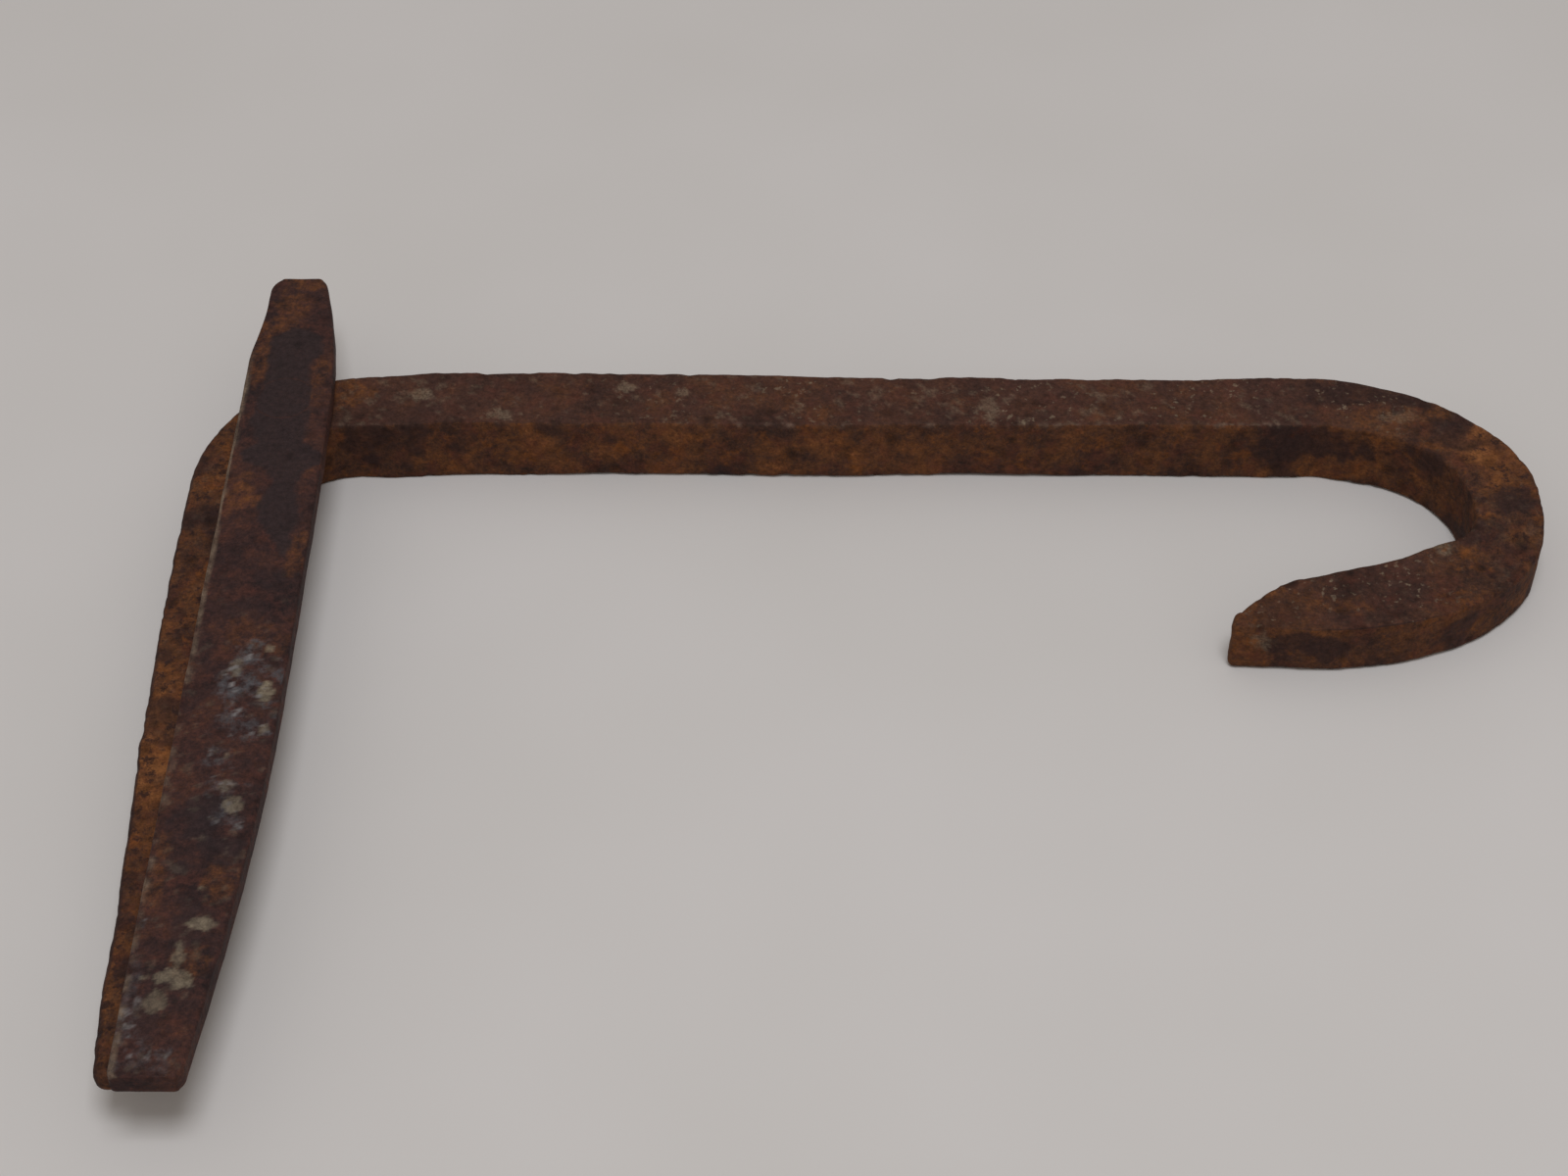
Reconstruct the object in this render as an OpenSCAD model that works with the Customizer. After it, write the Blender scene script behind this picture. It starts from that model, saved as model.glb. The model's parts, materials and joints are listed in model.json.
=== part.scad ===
// Hand-forged toggle bolt latch: a square bar with a J hook at one end and a
// bent leg at the other, and a flat toggle bar that turns on a flush rivet.
// Units are millimetres. The latch lies flat with +Z up, the hook at +X.
// The origin is under the middle of the whole latch, on the resting plane.

/* [Bar] */
// Width and height of the square bar
bar_w = 9.5; // [8:0.5:12]
// Chamfer along the bar's four edges
bar_edge = 0.6; // [0.2:0.1:1.2]

/* [Shank] */
// Straight length between the leg's bend and the hook's bend
shank_len = 126; // [80:1:260]

/* [Leg] */
// Centreline radius of the bend from the shank into the leg
leg_bend_r = 16; // [13:0.5:30]
// Length of the leg past the bend
leg_len = 92; // [50:1:140]
// First stretch of the leg that still lies flat on its underside
leg_flat_len = 9; // [4:1:30]
// Width of the leg at its tip
leg_tip_w = 6.5; // [4:0.1:8]
// Thickness of the leg at its tip
leg_tip_t = 3; // [2:0.1:6]

/* [Hook] */
// Centreline radius of the quarter of the hook next to the shank
hook_r = 21.2; // [18:0.1:30]
// How far back the arm's tip lies from the hook's outermost face
hook_reach = 41.5; // [36:0.5:60]
// Depth from the hook's middle to the arm's outer edge
hook_depth = 18.6; // [17:0.1:24]
// Length of the stretch over which the outer edge curves into the arm
hook_sweep = 30.5; // [20:0.5:34]
// Radius inside the hook, where the arm's inner edge leaves the bend
hook_inner_r = 3.5; // [2:0.1:6]
// Height of the drawn-down arm
hook_arm_h = 7.5; // [5:0.1:8]
// Width of the arm where its tip begins
hook_arm_w = 7.1; // [6.5:0.1:9]
// Width of the arm's blunt tip
hook_tip_w = 4; // [2:0.1:6]
// Length of the arm's last stretch, which narrows to the tip
hook_tip_len = 6; // [3:0.5:10]

/* [Toggle bar] */
// Thickness of the flat toggle bar
toggle_t = 3.1; // [2.5:0.1:6]
// Greatest width of the toggle bar
toggle_w = 11.6; // [11:0.1:20]
// Distance from the rivet's axis to the toggle's straight edge
toggle_heel = 5.6; // [5:0.1:8]
// Reach of the short arm from the rivet's axis
toggle_short = 25; // [16:1:60]
// Width of the short arm at its end
toggle_short_w = 7.7; // [7:0.1:10]
// Reach of the long arm from the rivet's axis
toggle_long = 106.8; // [60:0.2:150]
// Width of the long arm at its end
toggle_long_w = 7.7; // [7:0.1:11]
// Radius of the toggle's small corners
toggle_corner = 1.6; // [1:0.1:2.5]
// Radius of the worn corner at the short arm's end
toggle_worn_corner = 4.5; // [2:0.1:4.5]

/* [Rivet] */
// Diameter of the rivet's shank
rivet_d = 5; // [3:0.1:6]
// Diameter of the rivet's flush countersunk ends
rivet_head_d = 8; // [6.5:0.1:9]
// Where the rivet stands, as the angle round the bend from the shank
rivet_turn = 37; // [20:1:60]

/* [Fits] */
// Radial running clearance of the toggle bar on the rivet
rivet_clearance = 0.06; // [0.02:0.01:0.1]
// Gap between the bar's top and the toggle bar's underside
toggle_lift = 0.3; // [0.2:0.05:1]

/* [Hidden] */

$fn = 96;
half_w = bar_w / 2;
// Countersinks are 90 degree cones, so each is as deep as it is wide a side
head_h = (rivet_head_d - rivet_d) / 2;
// The bend's centre is the layout's own zero; the rivet is on the centreline
rivet_x = -leg_bend_r * sin(rivet_turn);
rivet_y = leg_bend_r * cos(rivet_turn);
toggle_z = bar_w + toggle_lift;
top_z = toggle_z + toggle_t;
hook_y = leg_bend_r - hook_r;
// Stretch of the toggle that keeps its full width, below the rivet
full_w_from = rivet_y - toggle_long * 0.35;
full_w_to = rivet_y - toggle_long * 0.14;
edge_steps = 16;
corner_steps = 6;
sweep_steps = 18;

// Outermost faces of the whole latch, which place the origin
x_min = min(-leg_bend_r - half_w, rivet_x - toggle_heel);
x_max = shank_len + hook_r + half_w;
y_min = min(rivet_y - toggle_long, -leg_len);
y_max = max(rivet_y + toggle_short, leg_bend_r + half_w);

// Points round a corner of radius r about c, from angle a0 to angle a1
function corner(c, r, a0, a1) = [
    for (i = [0:corner_steps])
        let (a = a0 + (a1 - a0) * i / corner_steps)
        c + r * [cos(a), sin(a)]
];

// The bar's square section with chamfered edges, standing on y = 0
module bar_section() {
    far = half_w - bar_edge;
    translate([0, half_w]) polygon([
        [-far, -half_w], [far, -half_w], [half_w, -far], [half_w, far],
        [far, half_w], [-far, half_w], [-half_w, far], [-half_w, -far]
    ]);
}

// A quarter bend of the bar about its own centre, from angle "from" onwards
module quarter_bend(r, from) {
    rotate([0, 0, from])
        rotate_extrude(angle = 90)
            translate([r, 0]) bar_section();
}

module shank() {
    translate([0, leg_bend_r, 0])
        rotate([90, 0, 90])
            linear_extrude(shank_len) bar_section();
}

// The leg narrows towards its tip, and its underside rises there
module leg() {
    inner_x = -leg_bend_r + half_w;
    intersection() {
        linear_extrude(bar_w) polygon([
            [inner_x, 0], [inner_x - bar_w, 0],
            [inner_x - leg_tip_w, -leg_len], [inner_x, -leg_len]
        ]);
        translate([inner_x - bar_w, 0, 0])
            rotate([90, 0, 90])
                linear_extrude(bar_w) polygon([
                    [0, 0], [-leg_flat_len, 0],
                    [-leg_len, bar_w - leg_tip_t], [-leg_len, bar_w],
                    [0, bar_w]
                ]);
    }
}

// The near half of the hook: a tight inner corner, a long elliptical outer
// edge, and an arm that narrows to a blunt tip and is drawn down in height
module hook_arm() {
    out_x = hook_r + half_w;
    in_x = hook_r - half_w;
    tip_x = out_x - hook_reach;
    // The arm's inner edge is the tangent from this point to the inner corner
    arm_in = [tip_x + hook_tip_len, hook_arm_w - hook_depth];
    corner_c = [in_x - hook_inner_r, 0];
    back = corner_c - arm_in;
    slant = atan2(back.y, back.x) - asin(hook_inner_r / norm(back));
    outer_edge = [
        for (i = [0:sweep_steps])
            let (a = -90 * i / sweep_steps)
            [out_x - hook_sweep * (1 - cos(a)), hook_depth * sin(a)]
    ];
    tip = [
        [tip_x + hook_tip_w / 5, -hook_depth],
        [tip_x, hook_tip_w / 4 - hook_depth],
        [tip_x + hook_tip_w / 4, hook_tip_w - hook_depth],
        arm_in
    ];
    translate([shank_len, hook_y, 0]) intersection() {
        linear_extrude(bar_w) polygon(concat(
            outer_edge, tip, corner(corner_c, hook_inner_r, slant - 90, 0),
            [[in_x, 0]]
        ));
        translate([tip_x, 0, 0])
            rotate([90, 0, 90])
                linear_extrude(hook_reach) polygon([
                    [0, 0], [-hook_depth, 0], [-hook_depth, hook_arm_h],
                    [-hook_depth / 4, hook_arm_h], [0, bar_w]
                ]);
    }
}

// The space that the rivet fills in the bar: its shank and lower flush end
module rivet_hole_in_bar() {
    translate([rivet_x, rivet_y, 0]) rotate_extrude() polygon([
        [0, 0], [rivet_head_d / 2, 0], [rivet_d / 2, head_h],
        [rivet_d / 2, bar_w], [0, bar_w]
    ]);
}

module hook_rod() {
    color("sienna") place() difference() {
        union() {
            leg();
            quarter_bend(leg_bend_r, 90);
            shank();
            translate([shank_len, hook_y, 0]) quarter_bend(hook_r, 0);
            hook_arm();
        }
        rivet_hole_in_bar();
    }
}

// How far the toggle's bowed edge lies from its straight edge at a given y
function toggle_width(y) =
    let (up = max(0, (y - full_w_to) / (rivet_y + toggle_short - full_w_to)),
         down = max(0, (full_w_from - y) / (full_w_from - rivet_y + toggle_long)))
    toggle_w - (toggle_w - toggle_short_w) * pow(up, 2.4)
        - (toggle_w - toggle_long_w) * pow(down, 2);

module toggle_outline() {
    left = rivet_x - toggle_heel;
    far = rivet_y + toggle_short;
    near = rivet_y - toggle_long;
    r = toggle_corner;
    worn = toggle_worn_corner;
    edge_top = far - r;
    edge_end = near + r;
    polygon(concat(
        corner([left + worn, far - worn], worn, 180, 90),
        corner([left + toggle_short_w - r, far - r], r, 90, 0),
        [for (i = [1:edge_steps])
            let (y = edge_top + (edge_end - edge_top) * i / edge_steps)
            [left + toggle_width(y), y]],
        corner([left + toggle_width(edge_end) - r, near + r], r, 0, -90),
        corner([left + r, near + r], r, -90, -180)
    ));
}

// The running hole for the rivet, with its countersink open at the top
module toggle_hole() {
    r = rivet_d / 2 + rivet_clearance;
    head_r = rivet_head_d / 2 + rivet_clearance;
    translate([rivet_x, rivet_y, 0]) rotate_extrude() polygon([
        [0, toggle_z - 1], [r, toggle_z - 1], [r, top_z - head_h],
        [head_r, top_z], [head_r, top_z + 1], [0, top_z + 1]
    ]);
}

module toggle_bar() {
    color("saddlebrown") place() difference() {
        translate([0, 0, toggle_z]) linear_extrude(toggle_t) toggle_outline();
        toggle_hole();
    }
}

// A rivet peened flush into a countersink at each end
module pivot_rivet() {
    color("dimgray") place() translate([rivet_x, rivet_y, 0])
        rotate_extrude() polygon([
            [0, 0], [rivet_head_d / 2, 0], [rivet_d / 2, head_h],
            [rivet_d / 2, top_z - head_h], [rivet_head_d / 2, top_z],
            [0, top_z]
        ]);
}

// Moves the layout so that the origin is under the middle of the latch
module place() {
    translate([-(x_min + x_max) / 2, -(y_min + y_max) / 2, 0]) children();
}

hook_rod();
toggle_bar();
pivot_rivet();
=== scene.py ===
"""Looks of the forged toggle bolt latch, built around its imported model.

All shapes are worked out in millimetres in the model's own frame, and become metres at the end.
"""

import json
import math

import bmesh
import bpy
import numpy as np
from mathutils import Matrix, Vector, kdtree


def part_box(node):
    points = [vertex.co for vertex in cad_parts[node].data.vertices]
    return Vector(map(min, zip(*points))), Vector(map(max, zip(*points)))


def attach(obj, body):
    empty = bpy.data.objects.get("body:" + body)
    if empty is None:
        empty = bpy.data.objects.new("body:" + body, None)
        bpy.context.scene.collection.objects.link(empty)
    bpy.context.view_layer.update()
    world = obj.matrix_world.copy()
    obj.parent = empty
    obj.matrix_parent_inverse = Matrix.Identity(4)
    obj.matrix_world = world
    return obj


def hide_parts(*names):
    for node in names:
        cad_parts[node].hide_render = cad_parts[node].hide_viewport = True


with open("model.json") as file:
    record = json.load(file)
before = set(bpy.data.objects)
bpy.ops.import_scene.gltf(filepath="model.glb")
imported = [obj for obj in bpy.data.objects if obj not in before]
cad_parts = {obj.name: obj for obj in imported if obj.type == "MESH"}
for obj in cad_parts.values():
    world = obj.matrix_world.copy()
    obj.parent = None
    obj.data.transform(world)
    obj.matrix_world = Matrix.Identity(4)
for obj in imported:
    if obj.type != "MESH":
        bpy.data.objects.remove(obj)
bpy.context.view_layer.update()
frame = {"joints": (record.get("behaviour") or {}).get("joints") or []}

MM = 1000.0


def box_mm(node):
    """Lowest and highest corners of a CAD node in millimetres."""
    low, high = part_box(node)
    return np.array(low) * MM, np.array(high) * MM


ROD_LOW, ROD_HIGH = box_mm("hook_rod")
BAR_LOW, BAR_HIGH = box_mm("toggle_bar")
PIVOT = np.array(frame["joints"][0]["pos_m"]) * MM

# The rod: a square bar, bent into the leg at one end and the hook at the other
ROD_W = ROD_HIGH[2] - ROD_LOW[2]
# The shank's back and front faces
BACK_Y = ROD_HIGH[1]
FRONT_Y = BACK_Y - ROD_W
# The bend into the leg: its centreline radius and its centre
BEND_R = 16.0
BEND_X = ROD_LOW[0] + BEND_R + ROD_W / 2
BEND_Y = ROD_HIGH[1] - BEND_R - ROD_W / 2
# The leg's tip, and how much of the leg lies flat before its underside rises
LEG_TIP_Y = ROD_LOW[1]
LEG_TIP_W = 6.5
LEG_TIP_T = 3.0
LEG_FLAT = 9.0
# The hook: centreline radius and centre of the quarter next to the shank
HOOK_R = 21.2
HOOK_X = ROD_HIGH[0] - HOOK_R - ROD_W / 2
HOOK_Y = ROD_HIGH[1] - HOOK_R - ROD_W / 2
# How far back the tip lies, how deep the arm's outer edge lies and where that is, how long its
# outer sweep is, and its inner corner
HOOK_REACH = 41.5
HOOK_DEPTH = 18.6
ARM_Y = HOOK_Y - HOOK_DEPTH
HOOK_SWEEP = 30.5
HOOK_INNER_R = 3.5
# How far the hammering has opened the inside of the hook at its deepest
HOOK_SPREAD = 1.1
# How much less it is opened at the tight inner corner
HOOK_CLOSE = 0.4
# The drawn-down arm and the length of its narrowing tip
ARM_W = 7.1
ARM_H = 7.5
TIP_LEN = 7.6
# Radius to which the toggle bar's far left corner is worn
FAR_CORNER_R = 3.0
# The rivet's flush head and its shank
HEAD_R = 4.0
SHANK_R = 2.5
# Seam round the head, running gap in the toggle bar, and gap in the rod
HEAD_SEAM = 0.005
BORE_GAP = 0.06
PRESS_GAP = 0.02
# Directions in which the ends point
TO_NEAR = np.array([0.0, -1.0, 0.0])
TO_LEFT = np.array([-1.0, 0.0, 0.0])
# Points round each corner of a section
CORNER_POINTS = 7
# Noise: size of its table of random numbers, and the three factors that scramble a cell's place
NOISE_TABLE = 4096
SCRAMBLE = (73856093, 19349663, 83492791)
# A rotation that keeps the noise's cells off the axes
NOISE_TURN = np.array([[0.80, 0.36, -0.48], [-0.60, 0.48, -0.64], [0.0, 0.80, 0.60]])
# How strong each finer layer of noise is beside the one before it
LAYER_SHARE = 0.55
# Edges sharper than this, in degrees, stay hard
SHARP_ANGLE = 40


# -------- helpers


def smooth(low, high, value):
    """0 up to low, 1 from high on, and an S curve between them; low may be above high."""
    part = np.clip((value - low) / (high - low), 0, 1)
    return part * part * (3 - 2 * part)


def value_noise(points, size, seed):
    """Smooth noise from -1 to 1 with blobs about size millimetres across."""
    table = np.random.default_rng(seed).random(NOISE_TABLE) * 2 - 1
    cell = points @ NOISE_TURN / size
    base = np.floor(cell).astype(np.int64)
    part = cell - base
    part = part * part * part * (part * (part * 6 - 15) + 10)
    total = np.zeros(len(points))
    for corner in range(8):
        step = np.array([corner & 1, corner >> 1 & 1, corner >> 2 & 1])
        spot = base + step
        index = spot[:, 0] * SCRAMBLE[0] ^ spot[:, 1] * SCRAMBLE[1] ^ spot[:, 2] * SCRAMBLE[2]
        weight = np.prod(np.where(step, part, 1 - part), axis=1)
        total += weight * table[index & (NOISE_TABLE - 1)]
    return total


def cloud(points, size, seed, layers=3):
    """Noise with finer layers on top, from about -1 to 1."""
    total = np.zeros(len(points))
    share = 1.0
    for layer in range(layers):
        total += share * value_noise(points, size / 2**layer, seed + 17 * layer)
        share *= LAYER_SHARE
    return total


def section_rings(width, height, radius, corner_points, side_points):
    """One rounded rectangle per station, as (across, up) pairs; radius has a column per corner."""
    arcs = []
    corners = ((270, 0, 0), (180, 0, 1), (90, 1, 1), (0, 1, 0))
    for column, (start, at_inner, at_top) in enumerate(corners):
        angle = np.radians(start - np.linspace(0, 90, corner_points))
        r = radius[:, column : column + 1]
        across = at_inner * (width[:, None] - 2 * r) + r + r * np.cos(angle)
        up = at_top * (height[:, None] - 2 * r) + r + r * np.sin(angle)
        arcs.append(np.stack([across, up], -1))
    share = (np.arange(side_points) + 1) / (side_points + 1)
    rings = []
    for column, arc in enumerate(arcs):
        first = arc[:, -1:]
        last = arcs[(column + 1) % 4][:, :1]
        rings.append(arc)
        rings.append(first + (last - first) * share[None, :, None])
    return np.concatenate(rings, 1)


# Sizes of the rings that fill an end's flat face
END_SHARES = (0.84, 0.66, 0.48, 0.3, 0.14, 0.04)


def rounded_end(ring, forward, size, radius):
    """Rings that close an open end: a rounded shoulder, then a flat face down to its middle."""
    middle = ring.mean(0)
    half_plan, half_up = size[0] / 2, size[1] / 2
    rings = []
    for angle in np.radians(np.linspace(0, 90, 6)[1:]):
        inset = radius * (1 - math.cos(angle))
        part = ring - middle
        part[:, :2] *= 1 - inset / half_plan
        part[:, 2] *= 1 - inset / half_up
        rings.append(middle + part + forward * radius * math.sin(angle))
    face = rings[-1]
    centre = face.mean(0)
    for share in END_SHARES:
        rings.append(centre + (face - centre) * share)
    return rings


def mesh_from_rings(name, rings):
    """A closed mesh object from rings with equal numbers of points."""
    count = rings.shape[1]
    points = rings.reshape(-1, 3)
    caps = np.array([rings[0].mean(0), rings[-1].mean(0)])
    faces = []
    for row in range(len(rings) - 1):
        a, b = row * count, (row + 1) * count
        for i in range(count):
            j = (i + 1) % count
            faces.append((a + i, b + i, b + j, a + j))
    last = (len(rings) - 1) * count
    first_cap, last_cap = len(points), len(points) + 1
    for i in range(count):
        j = (i + 1) % count
        faces.append((i, j, first_cap))
        faces.append((last + j, last + i, last_cap))
    mesh = bpy.data.meshes.new(name)
    mesh.from_pydata(np.vstack([points, caps]).tolist(), [], faces)
    piece = bpy.data.objects.new(name, mesh)
    bpy.context.scene.collection.objects.link(piece)
    tidy_normals(piece)
    return piece


def tidy_normals(piece):
    """Turns all faces outwards, then shades the piece."""
    work = bmesh.new()
    work.from_mesh(piece.data)
    bmesh.ops.recalc_face_normals(work, faces=work.faces)
    work.to_mesh(piece.data)
    work.free()
    shade(piece)


def shade(piece):
    """Smooth shading, with hard lines left only at real corners."""
    piece.data.shade_smooth()
    piece.data.set_sharp_from_angle(angle=math.radians(SHARP_ANGLE))


def points_of(piece):
    """The mesh's points as rows of x, y, z."""
    flat = np.zeros(len(piece.data.vertices) * 3)
    piece.data.vertices.foreach_get("co", flat)
    return flat.reshape(-1, 3)


def normals_of(piece):
    """The mesh's outward directions, one per point."""
    flat = np.zeros(len(piece.data.vertices) * 3, np.float32)
    piece.data.vertex_normals.foreach_get("vector", flat)
    return flat.reshape(-1, 3).astype(float)


def move_points(piece, points):
    """Writes new places for the mesh's points."""
    piece.data.vertices.foreach_set("co", points.ravel())
    piece.data.update()


def cut(piece, cutter):
    """Takes the cutter's volume out of the piece."""
    change = piece.modifiers.new("cut", "BOOLEAN")
    change.operation = "DIFFERENCE"
    change.solver = "EXACT"
    change.object = cutter
    bpy.context.view_layer.update()
    seen = piece.evaluated_get(bpy.context.evaluated_depsgraph_get())
    mesh = bpy.data.meshes.new_from_object(seen)
    piece.modifiers.clear()
    old = piece.data
    piece.data = mesh
    bpy.data.meshes.remove(old)
    bpy.data.objects.remove(cutter)
    shade(piece)


def revolve(name, profile, turns=96):
    """A closed solid turned about the pivot from (radius, z) pairs, which start and end on the axis."""
    angle = np.linspace(0, 2 * math.pi, turns, endpoint=False)
    rings = []
    for radius, z in profile[1:-1]:
        ring = np.stack([radius * np.cos(angle), radius * np.sin(angle), np.full(turns, z)], 1)
        rings.append(ring + [PIVOT[0], PIVOT[1], 0])
    piece = mesh_from_rings(name, np.array(rings))
    places = points_of(piece)
    places[-2, 2] = profile[0][1]
    places[-1, 2] = profile[-1][1]
    move_points(piece, places)
    return piece


def write_masks(piece, **masks):
    """Stores one number per point under each mask's name, for the material to read."""
    for name, values in masks.items():
        layer = piece.data.attributes.new(name, "FLOAT", "POINT")
        layer.data.foreach_set("value", np.clip(values, 0, 1).astype(np.float32))


def pitted(points, seed, count, low, high, depth):
    """Depth at each point of scattered round pits, low to high millimetres in radius."""
    rng = np.random.default_rng(seed)
    tree = kdtree.KDTree(len(points))
    for index, place in enumerate(points):
        tree.insert(place, index)
    tree.balance()
    total = np.zeros(len(points))
    for index in rng.integers(0, len(points), count):
        radius = rng.uniform(low, high)
        deep = depth * rng.uniform(0.4, 1.0)
        for _, near, distance in tree.find_range(points[index], radius):
            share = 1 - (distance / radius) ** 2
            total[near] = max(total[near], deep * share * share)
    return total


def blotches(points, marks, seed, size=2.0, ragged=0.35):
    """How far each point lies inside ragged ellipsoids: x, y, z, three half-sizes and strength."""
    edge = ragged * cloud(points, size, seed)
    total = np.zeros(len(points))
    for x, y, z, rx, ry, rz, strength in marks:
        away = (points - [x, y, z]) / [rx, ry, rz]
        distance = np.sqrt((away**2).sum(1)) + edge
        total = np.maximum(total, strength * (1 - smooth(0.75, 1.1, distance)))
    return total


# -------- the rod's shape


# Length taken up by the leg's rounded tip, its fuller middle, its bulge below the bend, and the
# waves of its inner edge
LEG_END = 1.6
LEG_BELLY = 0.7
LEG_BULGE = 0.45
LEG_WAVE = 0.15
# The lip on the outside of the bend: its height, and its place and width in degrees
LIP = 0.55
LIP_AT, LIP_WIDE = 138, 13
# How much thicker the shank's back is beside the toggle bar, and thinner at the hook
UPSET = 1.0
THIN_END = 0.05
# How far its front is drawn in beside the toggle bar, and the waves along its front
FRONT_STEP = 0.38
FRONT_WAVE = 0.10


def hump(value, middle, width):
    """1 at the middle, falling away to 0 in a bell curve."""
    return np.exp(-(((value - middle) / width) ** 2))


def leg_rails():
    """Outer and inner edges of the leg from its tip to the bend."""
    share = np.linspace(0, 1, 160)
    y = LEG_TIP_Y + LEG_END + (BEND_Y - LEG_TIP_Y - LEG_END) * share
    inner_x = np.full_like(y, BEND_X - BEND_R + ROD_W / 2)
    width = LEG_TIP_W + (ROD_W - LEG_TIP_W) * share + LEG_BELLY * np.sin(math.pi * share) ** 0.8
    width += LEG_BULGE * hump(share, 0.86, 0.12)
    inner_x += LEG_WAVE * np.sin(share * 9.0) * np.sin(math.pi * share)
    outer = np.stack([np.maximum(inner_x - width, ROD_LOW[0]), y], 1)
    return outer, np.stack([inner_x, y], 1)


def bend_rails():
    """Outer and inner edges round the bend from the leg to the shank."""
    angle = np.radians(np.linspace(180, 90, 80))
    around = np.stack([np.cos(angle), np.sin(angle)], 1)
    centre = np.array([BEND_X, BEND_Y])
    outer = centre + (BEND_R + ROD_W / 2) * around
    inner = centre + (BEND_R - ROD_W / 2) * around
    outer[:, 1] += shank_swell(outer[:, 0])
    lip = LIP * hump(np.degrees(angle), LIP_AT, LIP_WIDE)
    return outer + lip[:, None] * around, inner


def shank_swell(x):
    """The upset beside the toggle bar thickens the shank's back face, and it thins towards the hook."""
    near_toggle = smooth(BEND_X - 6, BEND_X + 11, x) * (1 - smooth(BEND_X + 28, BEND_X + 92, x))
    return UPSET * near_toggle - THIN_END * smooth(HOOK_X - 35, HOOK_X, x)


def shank_rails():
    """Back and front edges of the shank from the bend to the hook."""
    x = np.linspace(BEND_X, HOOK_X, 220)
    back = BACK_Y + shank_swell(x)
    front = np.full_like(x, FRONT_Y)
    near_toggle = smooth(BEND_X + 2, BEND_X + 12, x) * (1 - smooth(BEND_X + 30, BEND_X + 60, x))
    front += FRONT_STEP * near_toggle
    front += FRONT_WAVE * np.sin(x * 0.21) * smooth(BEND_X, BEND_X + 20, x)
    return np.stack([x, back], 1), np.stack([x, front], 1)


# How the hook's quarter next to the shank strays from a round bend, in millimetres:
# it is a little flat where it starts, bulges past its middle, and is narrow inside at its start
HOOK_FLAT = 0.15
HOOK_BULGE = 1.15
HOOK_NARROW = 0.5
# The arm's outer edge lies this much deeper than the CAD model's
SWEEP_MORE = 0.35


def far_hook_rails():
    """Outer and inner edges of the hook's quarter next to the shank."""
    turn = np.linspace(90, 0, 120)
    around = np.stack([np.cos(np.radians(turn)), np.sin(np.radians(turn))], 1)
    centre = np.array([HOOK_X, HOOK_Y])
    past = 90 - turn
    bulge = HOOK_BULGE * smooth(32, 64, past) - HOOK_FLAT * smooth(0, 18, past)
    bulge -= (HOOK_BULGE - HOOK_FLAT) * smooth(70, 90, past)
    spread = HOOK_SPREAD * smooth(20, 66, past) - HOOK_NARROW * hump(past, 16, 13)
    spread -= HOOK_CLOSE * smooth(70, 90, past)
    outer = centre + (HOOK_R + ROD_W / 2 + bulge)[:, None] * around
    inner = centre + (HOOK_R - ROD_W / 2 + spread)[:, None] * around
    return outer, inner


def outer_sweep(start, direction):
    """Where a ray from inside the hook meets the hook's elliptical outer edge."""
    middle = np.array([ROD_HIGH[0] - HOOK_SWEEP, HOOK_Y])
    radii = np.array([HOOK_SWEEP, HOOK_DEPTH + SWEEP_MORE])
    p = (start - middle) / radii
    d = direction / radii
    a = (d * d).sum(-1)
    b = (p * d).sum(-1)
    c = (p * p).sum(-1) - 1
    reach = (-b + np.sqrt(b * b - a * c)) / a
    return start + direction * reach[..., None]


# Waves in the arm's inner edge: distance from the tip, width and height
ARM_HUMPS = ((14, 5, 0.6), (22, 5, -0.15), (8.5, 3, 0.7))
# Outer and inner corners of the blunt tip, from its rearmost point and the arm's outer edge, and
# how full the inner edge is between the arm and the tip
TIP_OUTER = (1.1, 0.3)
TIP_INNER = (1.7, 3.2)
TIP_CROWN = 0.3
# How much fuller the arm's inner edge is than a straight line
ARM_FULLER = 0.2


def near_hook_rails():
    """Outer and inner edges of the near half: the tight inner corner, the arm and its blunt tip."""
    corner_x = HOOK_X + HOOK_R - ROD_W / 2 + HOOK_SPREAD - HOOK_CLOSE - HOOK_INNER_R
    corner = np.array([corner_x, HOOK_Y])
    tip_x = ROD_HIGH[0] - HOOK_REACH
    arm_in = np.array([tip_x + TIP_LEN, ARM_Y + ARM_W])
    back = corner - arm_in
    slant = math.atan2(back[1], back[0]) - math.asin(HOOK_INNER_R / np.linalg.norm(back))
    turn = np.linspace(0, slant - math.pi / 2, 90)[1:]
    around = np.stack([np.cos(turn), np.sin(turn)], 1)
    inner_bend = corner + HOOK_INNER_R * around
    outer_bend = outer_sweep(np.tile(corner, (len(turn), 1)), around)
    share = np.linspace(0, 1, 90)[1:, None]
    line = inner_bend[-1] + (arm_in - inner_bend[-1]) * share
    across = around[-1]
    outer_line = outer_sweep(line, np.tile(across, (len(line), 1)))
    fuller = ARM_FULLER * smooth(0, 0.15, share[:, 0])
    for place, width, height in ARM_HUMPS:
        fuller += height * hump(line[:, 0] - tip_x, place, width)
    inner_line = line - across * fuller[:, None]
    share = np.linspace(0, 1, 26)[1:, None]
    end_outer = np.array([tip_x + TIP_OUTER[0], ARM_Y + TIP_OUTER[1]])
    end_inner = np.array([tip_x + TIP_INNER[0], ARM_Y + TIP_INNER[1]])
    tip_outer = outer_line[-1] + (end_outer - outer_line[-1]) * share
    tip_inner = inner_line[-1] + (end_inner - inner_line[-1]) * share
    tip_inner[:, 1] += TIP_CROWN * np.sin(math.pi * share[:, 0])
    outer = np.vstack([outer_bend, outer_line, tip_outer])
    return outer, np.vstack([inner_bend, inner_line, tip_inner])


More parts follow.
